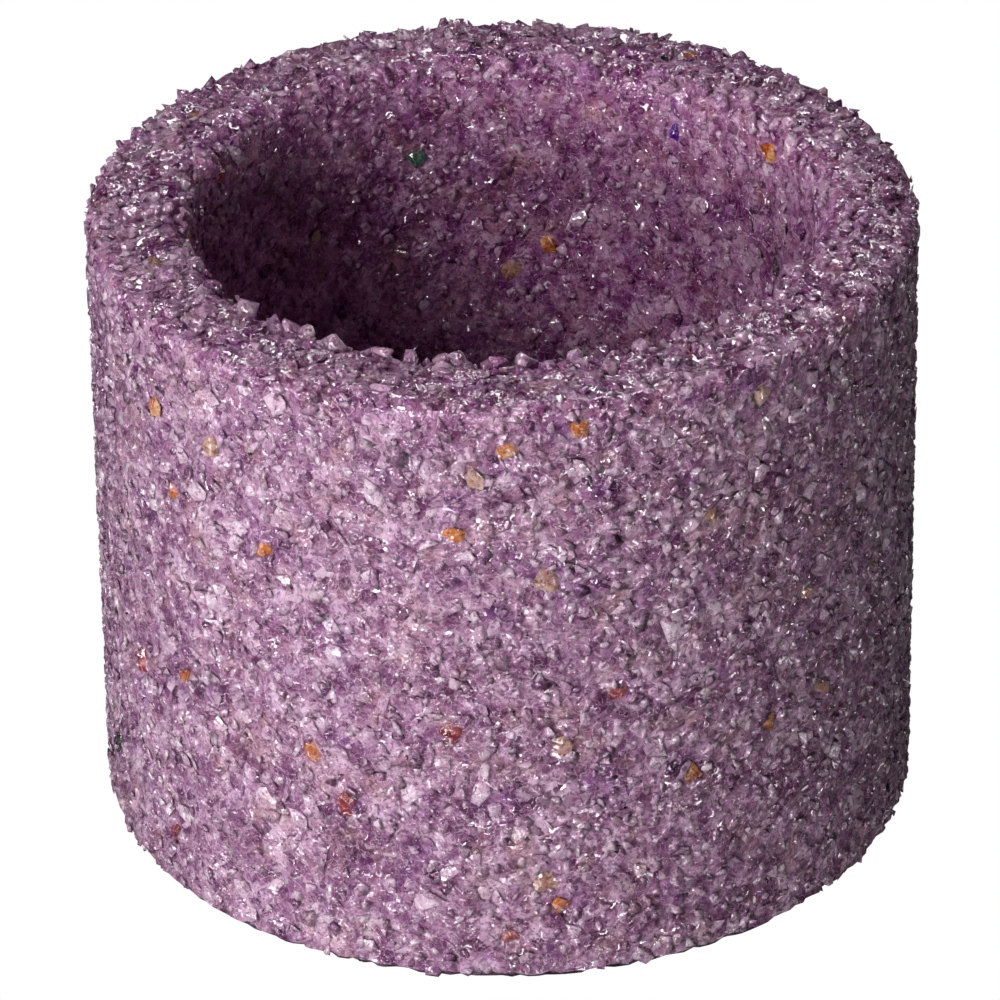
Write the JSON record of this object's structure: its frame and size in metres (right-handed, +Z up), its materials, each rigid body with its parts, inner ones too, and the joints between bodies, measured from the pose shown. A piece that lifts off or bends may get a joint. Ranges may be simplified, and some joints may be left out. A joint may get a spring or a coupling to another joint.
{
  "type": "granulate tealight cup",
  "caption": "Thick-walled open cup cast from crushed amethyst granulate in clear resin, which holds a tealight or small candle on its solid floor.",
  "frame": {"origin": "middle of the flat underside, on the cup's axis", "axes": "+Z up along the cup's axis; the cup is round, and -Y is the side that faces a viewer at bearing 0"},
  "size_m": [0.08, 0.08, 0.063],
  "materials": {
    "bonded_granulate": "fine amethyst granulate set in clear casting resin, semi-gloss, slightly translucent",
    "lilac_amethyst": "glassy crushed amethyst, mid lilac, translucent, sharp bright facets",
    "pale_amethyst": "glassy crushed amethyst, very pale, translucent",
    "deep_amethyst": "glassy crushed amethyst, dark purple, translucent",
    "clear_quartz": "colourless glassy quartz, clear with bright facets",
    "milky_quartz": "cloudy white to beige quartz, waxy",
    "carnelian": "orange, waxy to glassy",
    "red_jasper": "brown red, dull",
    "ochre_agate": "tan to ochre, waxy",
    "green_aventurine": "deep green, glassy",
    "black_tourmaline": "black, glassy",
    "violet_amethyst": "saturated violet, glassy"
  },
  "bodies": {
    "root": {"core_wall": "bonded_granulate", "core_floor": "bonded_granulate", "outside_lilac_amethyst_chips": "lilac_amethyst", "outside_pale_amethyst_chips": "pale_amethyst", "outside_deep_amethyst_chips": "deep_amethyst", "outside_clear_quartz_chips": "clear_quartz", "outside_milky_quartz_chips": "milky_quartz", "rim_lilac_amethyst_chips": "lilac_amethyst", "rim_pale_amethyst_chips": "pale_amethyst", "rim_deep_amethyst_chips": "deep_amethyst", "rim_clear_quartz_chips": "clear_quartz", "rim_milky_quartz_chips": "milky_quartz", "bore_lilac_amethyst_chips": "lilac_amethyst", "bore_pale_amethyst_chips": "pale_amethyst", "bore_deep_amethyst_chips": "deep_amethyst", "bore_clear_quartz_chips": "clear_quartz", "bore_milky_quartz_chips": "milky_quartz", "floor_lilac_amethyst_chips": "lilac_amethyst", "floor_pale_amethyst_chips": "pale_amethyst", "floor_deep_amethyst_chips": "deep_amethyst", "floor_clear_quartz_chips": "clear_quartz", "floor_milky_quartz_chips": "milky_quartz", "carnelian_chips": "carnelian", "red_jasper_chips": "red_jasper", "ochre_agate_chips": "ochre_agate", "green_aventurine_chips": "green_aventurine", "black_tourmaline_chips": "black_tourmaline", "violet_amethyst_chips": "violet_amethyst"}
  },
  "joints": []
}
